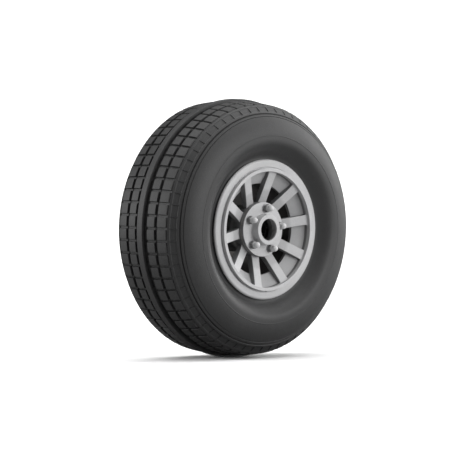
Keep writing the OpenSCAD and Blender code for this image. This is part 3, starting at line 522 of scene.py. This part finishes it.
# From the end of the hollow down the sidewall, round the bead and up the inside to the crown, and how deep
# each row lies in a moulded groove
def sideRows():
    sideAngle, sideHalf, sideHeight = tyre["sideRing"]
    sideAngle = math.degrees(math.asin(sideAngle / shoulderHeight()))
    near = np.linspace(-1, 1, 7)
    grooves = tyre["wideRing"], tyre["narrowRing"]
    angles = np.concatenate([np.linspace(tyre["coveTo"] - 0.4, 0, 24)[1:], sideAngle + sideHalf * near]
                            + [angle + half * near for angle, half, depth in grooves])
    angles = np.unique(np.round(angles, 3))[::-1]
    rise = sideHeight * np.cos(np.clip(np.abs(angles - sideAngle) / sideHalf, 0, 1) * math.pi / 2) ** 2
    dip = sum(depth * np.cos(np.clip(np.abs(angles - angle) / half, 0, 1) * math.pi / 2) ** 1.4
              for angle, half, depth in grooves)
    widest, foot, gutter = tyre["widestRadius"], tyre["footRadius"], tyre["gutterRadius"]
    footAt, gutterAt, seat, toe = tyre["footAt"], tyre["gutterAt"], tyre["seatRadius"], tyre["toeAt"]
    pulls = "footPull", "footTurn", "gutterPull"
    footPull, footTurn, gutterPull = (np.array(tyre[name]) for name in pulls)
    lower = hullCurve([tyre["halfWidth"], widest], [tyre["halfWidth"], widest - tyre["sideDrop"]],
                      [footAt, foot] + footPull, [footAt, foot], 11)
    corner = hullCurve([footAt, foot], [footAt, foot] - footTurn, [gutterAt, gutter] + gutterPull,
                       [gutterAt, gutter], 4)
    bead = np.concatenate([[[gutterAt + 1, gutter - 8]], heelRows()[::-1],
                           [[toe + 1, seat], [toe, seat + 1]]])
    innerCrown = tyre["radius"] - tyre["ribProud"] - tyre["treadDepth"] - tyre["crownWall"]
    innerSide = tyre["halfWidth"] - tyre["sideWall"]
    inside = hullCurve([toe + 0.5, seat + 4], [toe + 2, seat + 29], [innerSide - 18, widest - 14],
                       [innerSide, widest], 6)
    bend = np.radians(np.linspace(0, 90, 11))[1:]
    power = 2 / tyre["roofPower"]
    roof = np.stack([innerSide * np.clip(np.cos(bend), 0, 1) ** power,
                     widest + (innerCrown - widest) * np.sin(bend) ** power], axis=-1)
    rows = np.concatenate([shoulderPoints(angles, rise - dip), lower, corner, bead, [[toe + 0.5, seat + 4]],
                           inside, roof])
    return rows, np.append(dip, np.zeros(len(rows) - len(dip)))


# Stations round one block, in mm from the middle of its cross groove, how deep the groove is at each, and
# how far the hollow in the shoulder has come down from the bar that divides it
def crossStations():
    pitch = 2 * math.pi * crownRadius(0) / tyre["blocks"]
    half, bar = tyre["crossGroove"] / 2, tyre["coveBar"]
    # the bar's edge, the groove's floor up to its wall, then the wall and the block's rounded edge
    wall = np.array([bar, bar + 0.8, half - 0.4, half, half + 0.35, half + 1.0])
    plain = np.linspace(half + 1.0, pitch - half - 1.0, 5)[1:-1]
    place = np.concatenate([wall, plain, pitch - wall[::-1]])
    depth = np.array([1, 1, 1, 0.13, 0.03, 0] + [0] * len(plain) + [0, 0.03, 0.13, 1, 1, 1])
    hollow = np.ones(len(place))
    hollow[[0, -1]] = 0
    return place / pitch, depth, hollow


# The tread is a grid of rows across and columns round the axle, with the radius of the row less cut x groove
# depth and less the hollow; the sides are profiles turned about the axle, the inboard one a mirror image
def makeTyre():
    half, halfCut, halfSunk = treadRows()
    rows = np.concatenate([half[:0:-1] * [-1, 1], half])
    cut = np.concatenate([halfCut[:0:-1], halfCut])
    sunk = np.concatenate([halfSunk[:0:-1] * [-1, 1], halfSunk])
    share, depth, hollow = crossStations()
    step = 2 * math.pi / tyre["blocks"]
    places = (np.arange(tyre["blocks"])[:, None] + share[None]).ravel()
    angle = math.radians(tyre["firstGroove"]) + step * places
    allDepth, allHollow = np.tile(depth, tyre["blocks"])[None], np.tile(hollow, tyre["blocks"])[None]
    radius = rows[:, 1:] - cut[:, None] * allDepth - sunk[:, 1:] * allHollow
    tread = aboutAxle(radius, rows[:, :1] - sunk[:, :1] * allHollow, angle[None])
    treadQuads = ringFaces(len(rows), len(angle))
    # the sides carry four of the tread's columns for each block
    kept = np.linspace(0, len(share), 5).round().astype(int)[:-1]
    columns = (np.arange(tyre["blocks"])[:, None] * len(share) + kept[None]).ravel()
    side, dip = sideRows()
    outboard = aboutAxle(side[:, 1:], side[:, :1], angle[None, columns])
    inboardSide = side[-2::-1] * [-1, 1]
    inboard = aboutAxle(inboardSide[:, 1:], inboardSide[:, :1], angle[None, columns])
    around = np.concatenate([outboard, inboard])
    first = tread.shape[0] * tread.shape[1]
    sideQuads = ringFaces(len(around), len(columns), start=first)
    # one many-sided face joins each coarse cell of the sides to the tread columns beside it
    width = np.diff(np.append(columns, len(angle) + columns[0]))
    topEdge = (tread.shape[0] - 1) * len(angle)
    lowEdge = first + (len(around) - 1) * len(columns)
    joins = []
    for j, count in enumerate(width):
        following = (j + 1) % len(columns)
        fine = (columns[j] + np.arange(count + 1)) % len(angle)
        joins.append((topEdge + fine).tolist() + [first + following, first + j])
        joins.append((fine[::-1]).tolist() + [lowEdge + j, lowEdge + following])
    points = np.concatenate([tread.reshape(-1, 3), around.reshape(-1, 3)])
    quads = np.concatenate([treadQuads, sideQuads])
    recess = np.append(np.zeros(first), np.repeat(np.append(dip, dip[-2::-1]), len(columns)))
    return points, quads, joins, recess


tyrePoints, tyreQuads, tyreJoins, tyreRecess = makeTyre()
tyrePiece = newMesh("tyre_rubber", tyrePoints, tyreQuads, tyreJoins)
tyrePiece.data.attributes.new("recess", "FLOAT", "POINT").data.foreach_set("value", tyreRecess)
finishPiece(tyrePiece, "tyre", rubber)
print("tyre made:", len(tyrePiece.data.polygons), "faces")


rim = {"lipInner": 153.8, "lipAt": 135.2, "baseRadius": 162.8, "ringGrooveRadius": 160.1,
       "ringGrooveOut": 125.2, "ringGrooveIn": 121.2, "ringOuter": 165.4, "footAt": 91.8,
       "wellRadius": 137.3, "wellHalf": 68.8, "seatEdge": 92.8, "webOuterAt": 114.7, "webInnerAt": 96.9,
       "edgeSoft": 0.9, "mouthRadius": 165.8}
drum = {"inner": 121.3, "outer": 127.3, "flangeRadius": 136.8, "stop": 87.9, "seat": 99.2, "flangeThick": 6.0,
        "skirtRadius": 124.7, "end": 124.2, "edgeSoft": 0.7}
hub = {"radius": 72.03, "faceAt": 104.05, "skirtAt": 75.55, "taper": 24.0, "barrelRadius": 62.03,
       "barrelEnd": 94.05, "cupRadius": 47.23, "waistRadius": 41.03, "shoulderAt": 59.0, "snapOut": 90.55,
       "snapIn": 88.25, "snapRadius": 49.53, "edgeSoft": 1.2}
spoke = {"count": 10, "firstAngle": 8.0, "width": 26.0, "depth": 18.5, "inner": 62.0, "outer": 157.5,
         "hubStation": 98.05, "rimStation": 126.2, "edgeSoft": 1.5, "flare": 2.2, "flareReach": 4.0}
fastening = {"studs": 5, "studCircle": 56.53, "studSize": 12.0, "studFrom": 80.0, "drumBolts": 10,
             "boltCircle": 130.83, "boltSize": 6.0, "boltTo": -81.2, "valveAngle": 26.0, "valveCircle": 145.3,
             "valveHole": 8.6}


# A flange as [radius, distance], from the bead's heel up its back and over its rounded edge to its face;
# side is 1 outboard and -1 inboard
def flangeRows(side):
    edge, back, face = flange["radius"], flange["back"], flange["face"]
    small, large = flange["backEdge"], flange["round"]
    turn = hullCurve([edge, face - large], [edge, face - 0.45 * large], [edge - 0.45 * large, face],
                     [edge - large, face], 6)
    rows = np.concatenate([heelRows()[:, ::-1], [[edge - small, back], [edge, back + small],
                                                 [edge, face - large]], turn])
    return rows * [1, side]


# Even steps round the axle from the first spoke: first angle + 360 i / count
def evenAngles(count):
    return np.radians(spoke["firstAngle"] + 360 / count * np.arange(count))


# The spoke's outline is carried outwards, a little wider at both ends, its face rising evenly from hub to rim
# by w = hub station + (x - hub radius) (rim station - hub station) / (lip radius - hub radius)
def makeSpokes():
    lean = (spoke["rimStation"] - spoke["hubStation"]) / (rim["lipInner"] - hub["radius"])
    half, depth = spoke["width"] / 2, spoke["depth"]
    outline = softOutline([[-half, 0], [-half, -depth], [half, -depth], [half, 0]], spoke["edgeSoft"], 3)
    # the stations lie closer where the spoke flares into the hub and the rim
    x = np.concatenate([[spoke["inner"]], hub["radius"] + np.array([-1, 0.5, 1.5, 3, 5, 9]),
                        np.linspace(hub["radius"] + 14, rim["lipInner"] - 12, 6),
                        rim["lipInner"] - np.array([8, 5, 3, 1.5, 0.5, -1]), [spoke["outer"]]])
    reach = spoke["flareReach"]
    toHub, toRim = np.abs(x - hub["radius"]), np.abs(rim["lipInner"] - x)
    flare = spoke["flare"] * (np.exp(-toHub / reach) + np.exp(-toRim / reach))
    flare[[0, -1]] = 0
    across = outline[None, :, 0] * (1 + flare[:, None] / half)
    outboard = spoke["hubStation"] + (x[:, None] - hub["radius"]) * lean + outline[None, :, 1]
    turn = evenAngles(spoke["count"])[:, None, None]
    along = np.broadcast_to(x[None, :, None], (1, *across.shape))
    points = turnedRound(along, across, outboard, turn)
    sides = len(outline)
    quads = np.concatenate([ringFaces(len(x), sides, start=i * len(x) * sides)
                            for i in range(spoke["count"])])
    rings = np.arange(spoke["count"] * len(x) * sides).reshape(spoke["count"], len(x), sides)
    caps = np.concatenate([rings[:, 0, ::-1], rings[:, -1]])
    return newMesh("spokes", points.reshape(-1, 3), quads, caps.tolist())


# The rim with its web ring and the hub barrel are outlines turned about the axle, joined by the spokes and
# then drilled for the studs, the drum bolts and the valve
def makeWheelCasting():
    lip, base, seat = rim["lipInner"], rim["baseRadius"], tyre["seatRadius"]
    outline = np.concatenate([
        [[lip, rim["webOuterAt"]], [lip, rim["lipAt"]], [base, rim["lipAt"]], [base, rim["ringGrooveOut"]],
         [rim["ringGrooveRadius"], rim["ringGrooveOut"]], [rim["ringGrooveRadius"], rim["ringGrooveIn"]],
         [base, rim["ringGrooveIn"]], [base, rim["footAt"]], [rim["wellRadius"], rim["wellHalf"]],
         [rim["wellRadius"], -rim["wellHalf"]], [base, -rim["footAt"]], [seat, -rim["seatEdge"]]],
        flangeRows(-1),
        [[lip, -rim["lipAt"]], [lip, -drum["seat"]], [drum["outer"], -drum["seat"]],
         [drum["outer"], drum["stop"]], [drum["inner"], drum["stop"]], [drum["inner"], rim["webInnerAt"]]]])
    rimPiece = turnedMesh("wheel_casting_smooth", outline, rim["edgeSoft"], columns=288)
    cup, waist, seatAt = hub["cupRadius"], hub["waistRadius"], hub["shoulderAt"]
    hubOutline = [[hub["radius"], hub["faceAt"]], [hub["radius"], hub["skirtAt"]],
                  [hub["barrelRadius"], hub["skirtAt"] - hub["taper"]],
                  [hub["barrelRadius"], -hub["barrelEnd"]], [cup, -hub["barrelEnd"]], [cup, -hub["snapOut"]],
                  [hub["snapRadius"], -hub["snapOut"]], [hub["snapRadius"], -hub["snapIn"]],
                  [cup, -hub["snapIn"]], [cup, -seatAt], [waist, -seatAt], [waist, seatAt], [cup, seatAt],
                  [cup, hub["faceAt"]]]
    # how far each corner is softened: most at both ends of the taper behind the face
    soft = np.array([0.6] + [hub["edgeSoft"] * 6] * 2 + [hub["edgeSoft"]] + [0.5] * 10)
    hubPiece = turnedMesh("hub", hubOutline, soft, columns=192)
    combine(rimPiece, makeSpokes(), "UNION")
    combine(rimPiece, hubPiece, "UNION")
    drill(rimPiece, fastening["studCircle"], evenAngles(fastening["studs"]), fastening["studFrom"],
          hub["faceAt"] + 2, fastening["studSize"], 32)
    drill(rimPiece, fastening["boltCircle"], evenAngles(fastening["drumBolts"]), -drum["seat"] - 2,
          fastening["boltTo"], fastening["boltSize"], 24)
    drill(rimPiece, fastening["valveCircle"], [math.radians(fastening["valveAngle"])], -drum["seat"] - 2,
          -rim["wellHalf"], fastening["valveHole"], 32)
    return rimPiece


castingPiece = makeWheelCasting()
finishPiece(castingPiece, "wheel_casting", alloy)
print("casting made:", len(castingPiece.data.polygons), "faces")


# The removable flange: its outline turned once about the axle
def makeOuterFlange():
    base, mouth = rim["baseRadius"], rim["mouthRadius"]
    outline = np.concatenate([[[base, rim["footAt"]], [tyre["seatRadius"], rim["seatEdge"]]], flangeRows(1),
                              [[mouth, flange["face"]], [mouth, rim["ringGrooveIn"]],
                               [base, rim["ringGrooveIn"]]]])
    return turnedMesh("outer_flange_smooth", outline, rim["edgeSoft"], columns=288)


# The drum's stepped outline turned once about the axle, with holes for its bolts
def makeBrakeDrum():
    inner, outer, skirt = drum["inner"], drum["outer"], drum["skirtRadius"]
    back = -drum["seat"] - drum["flangeThick"]
    outline = [[inner, drum["stop"]], [outer, drum["stop"]], [outer, -drum["seat"]],
               [drum["flangeRadius"], -drum["seat"]], [drum["flangeRadius"], back], [skirt, back],
               [skirt, -drum["end"]], [inner, -drum["end"]]]
    piece = turnedMesh("brake_drum_smooth", outline, drum["edgeSoft"], columns=240)
    drill(piece, fastening["boltCircle"], evenAngles(fastening["drumBolts"]), back - 2, -drum["seat"] + 2,
          fastening["boltSize"], 24)
    return piece


cover = {"backAt": 104.85, "faceAt": 114.25, "spigotAt": 100.05, "nutRoom": 35.83, "bossRadius": 40.53,
         "bossEnd": 137.75, "mouth": 28.775, "mouthAt": 131.75, "studHole": 13.0}


# The cover with its boss: an outline turned once about the axle, with holes for the studs
def makeHubCover():
    boss, mouth, cup = cover["bossRadius"], cover["mouth"], hub["cupRadius"]
    outline = [[cover["nutRoom"], cover["spigotAt"]], [cup, cover["spigotAt"]], [cup, cover["backAt"]],
               [hub["radius"], cover["backAt"]], [hub["radius"], cover["faceAt"]], [boss, cover["faceAt"]],
               [boss, cover["bossEnd"]], [mouth, cover["bossEnd"]], [mouth, cover["mouthAt"]],
               [cover["nutRoom"], cover["mouthAt"]]]
    soft = np.array([0.5, 0.5, 0.5, 0.6, 1.3, 1.6, 2.0, 1.2, 0.5, 0.5])
    piece = turnedMesh("hub_cover_smooth", outline, soft, columns=160, steps=4)
    drill(piece, fastening["studCircle"], evenAngles(fastening["studs"]), cover["spigotAt"],
          cover["faceAt"] + 2, cover["studHole"], 40)
    return piece


capNut = {"seatAt": 116.65, "flats": 19.0, "hexHeight": 9.5, "chamfer": 1.2, "domeSize": 16.0, "height": 26.0,
          "shoulder": 17.5}


# Shapes turned about each stud: rows of [radius from the stud, station], closed by a point at both ends
def studTurned(rows, sides):
    rows = np.array(rows, float)
    b = np.linspace(0, 2 * math.pi, sides, endpoint=False)
    x = fastening["studCircle"] + rows[:, :1] * np.cos(b)
    z = rows[:, :1] * np.sin(b)
    turn = evenAngles(fastening["studs"])[:, None, None]
    points = turnedRound(x, z, rows[:, 1:], turn).reshape(-1, 3)
    count = len(rows) * sides
    quads = np.concatenate([ringFaces(len(rows), sides, start=i * count) for i in range(len(turn))])
    rings = np.arange(len(points)).reshape(-1, len(rows), sides)
    return points, quads, np.concatenate([rings[:, 0, ::-1], rings[:, -1]]).tolist()


# A hexagon with chamfered ends under a round body with a crowned end: r = R sqrt(1 - t^2)
def makeCapNuts():
    seatAt, hexTop = capNut["seatAt"], capNut["seatAt"] + capNut["hexHeight"]
    corner, small = capNut["flats"] / 2 / math.cos(math.pi / 6), capNut["chamfer"]
    hexagon = [[corner - small, seatAt], [corner, seatAt + 0.6 * small], [corner, hexTop - 0.6 * small],
               [corner - small, hexTop]]
    t = np.sin(np.linspace(0, 0.49 * math.pi, 12))
    body, shoulder = capNut["domeSize"] / 2, seatAt + capNut["shoulder"]
    crown = seatAt + capNut["height"] - shoulder
    dome = np.stack([body * np.sqrt(1 - t ** 2), shoulder + crown * t], axis=-1)
    hexPoints, hexQuads, hexCaps = studTurned(hexagon, 6)
    domePoints, domeQuads, domeCaps = studTurned(np.concatenate([[[body, hexTop - 0.5]], dome]), 32)
    moved = len(hexPoints)
    caps = hexCaps + [[moved + i for i in cap] for cap in domeCaps]
    return newMesh("cap_nuts", np.concatenate([hexPoints, domePoints]),
                   hexQuads, caps + (domeQuads + moved).tolist())


lockRing = {"splitAt": 270.0, "split": 6.0, "edgeSoft": 0.3}


# The split ring in its groove: a rectangle carried round the axle from one side of the split to the other
def makeLockRing(columns=240):
    inner, outer = rim["ringGrooveRadius"], rim["ringOuter"]
    low, high = rim["ringGrooveIn"], rim["ringGrooveOut"]
    profile = softOutline([[inner, low], [outer, low], [outer, high], [inner, high]],
                          lockRing["edgeSoft"], 2)
    gap = math.degrees(lockRing["split"] / outer) / 2
    angle = np.radians(np.linspace(lockRing["splitAt"] + gap, lockRing["splitAt"] + 360 - gap, columns))
    points = aboutAxle(profile[:, :1], profile[:, 1:], angle[None]).transpose(1, 0, 2)
    quads = ringFaces(columns, len(profile))
    index = np.arange(columns * len(profile)).reshape(columns, -1)
    return newMesh("lock_ring", points.reshape(-1, 3), quads, [index[0, ::-1].tolist(), index[-1].tolist()])


finishPiece(makeOuterFlange(), "outer_flange", alloy)
finishPiece(makeLockRing(), "flange_lock_ring", brightSteel)
finishPiece(makeBrakeDrum(), "brake_drum", drumIron)
finishPiece(makeHubCover(), "hub_cover", alloy)
# the cap nuts: lighter as a painted highlight on the domes, darker as painted shade on the hexagons
nutAlloy = castAlloy("nut alloy", shadedBelow=capNut["seatAt"] + capNut["hexHeight"])
finishPiece(makeCapNuts(), "cover_cap_nuts", nutAlloy, sharpAbove=30)
print("flange, lock ring, drum, cover and cap nuts made")


# Each lamp is (azimuth, elevation, strength), in degrees
studio = {"floorTone": 1.0, "floorBounce": 0.3, "floorHalf": 60.0, "softness": 36.0, "lampsAway": 3,
          "lamps": [(-135, 12, 0.66), (-165, 12, 0.03), (-15, 12, 0.08), (15, 12, 0.76), (75, 12, 0.58),
                    (105, 12, 0.1), (-105, 42, 0.09), (-65, 42, 0.03), (100, 42, 0.21), (-150, 65, 0.4),
                    (-60, 65, 0.08), (30, 65, 0.31), (120, 65, 0.3)]}


# A flat square floor under the tread, white to the camera and darker in the light that it sends back
def makeStage():
    finish = Finish("floor", roughness=0.9, specular=0.1)
    path = finish.add("ShaderNodeLightPath").outputs["Is Camera Ray"]
    tone, bounce = (studio["floorTone"],) * 3, (studio["floorBounce"],) * 3
    finish.join(finish.mixed(path, bounce, tone), finish.shader.inputs["Base Color"])
    half, level = studio["floorHalf"], cadLow.z
    mesh = bpy.data.meshes.new("floor")
    mesh.from_pydata([(x, y, level) for x, y in ((-half, -half), (half, -half), (half, half), (-half, half))],
                     [], [(0, 1, 2, 3)])
    mesh.materials.append(finish.material)
    floor = bpy.data.objects.new("floor", mesh)
    bpy.context.scene.collection.objects.link(floor)


# A white wall all round that only the camera sees, and broad soft lamps at azimuth a and elevation e, which
# shine back along (sin a cos e, -cos a cos e, sin e)
def makeLights():
    world = bpy.data.worlds.new("studio")
    bpy.context.scene.world = world
    world.use_nodes = True
    shade = world.node_tree.nodes
    path = shade.new("ShaderNodeLightPath")
    wall = shade["Background"]
    wall.inputs["Color"].default_value = (1, 1, 1, 1)
    world.node_tree.links.new(path.outputs["Is Camera Ray"], wall.inputs["Strength"])
    for azimuth, elevation, strength in studio["lamps"]:
        a, e = math.radians(azimuth), math.radians(elevation)
        lamp = bpy.data.lights.new("soft lamp", "SUN")
        lamp.energy = math.pi * strength
        lamp.angle = math.radians(studio["softness"])
        holder = bpy.data.objects.new("soft lamp", lamp)
        toLamp = Vector((math.sin(a) * math.cos(e), -math.cos(a) * math.cos(e), math.sin(e)))
        holder.location = toLamp * studio["lampsAway"]
        holder.rotation_euler = (-toLamp).to_track_quat("-Z", "Y").to_euler()
        bpy.context.scene.collection.objects.link(holder)


# The camera looks back along (sin a cos e, -cos a cos e, sin e) at a point beside the hub
def makeCamera():
    a, e = math.radians(lookAt["azimuth"]), math.radians(lookAt["elevation"])
    back = np.array([math.sin(a) * math.cos(e), -math.cos(a) * math.cos(e), math.sin(e)])
    right = np.array([math.cos(a), math.sin(a), 0])
    up = np.cross(back, right)
    aim = right * lookAt["aimRight"] + up * lookAt["aimUp"]
    data = bpy.data.cameras.new("camera")
    data.sensor_width = lookAt["sensorWidth"]
    data.lens = data.sensor_width * lookAt["distance"] / lookAt["widthSeen"]
    data.clip_end = lookAt["clipEnd"]
    camera = bpy.data.objects.new("camera", data)
    camera.location = aim + back * lookAt["distance"]
    camera.rotation_mode = "QUATERNION"
    camera.rotation_quaternion = Vector((-back).tolist()).to_track_quat("-Z", "Y")
    bpy.context.scene.collection.objects.link(camera)
    bpy.context.scene.camera = camera


makeStage()
makeLights()
makeCamera()
bpy.context.scene.view_settings.view_transform = "Standard"
print("stage made")
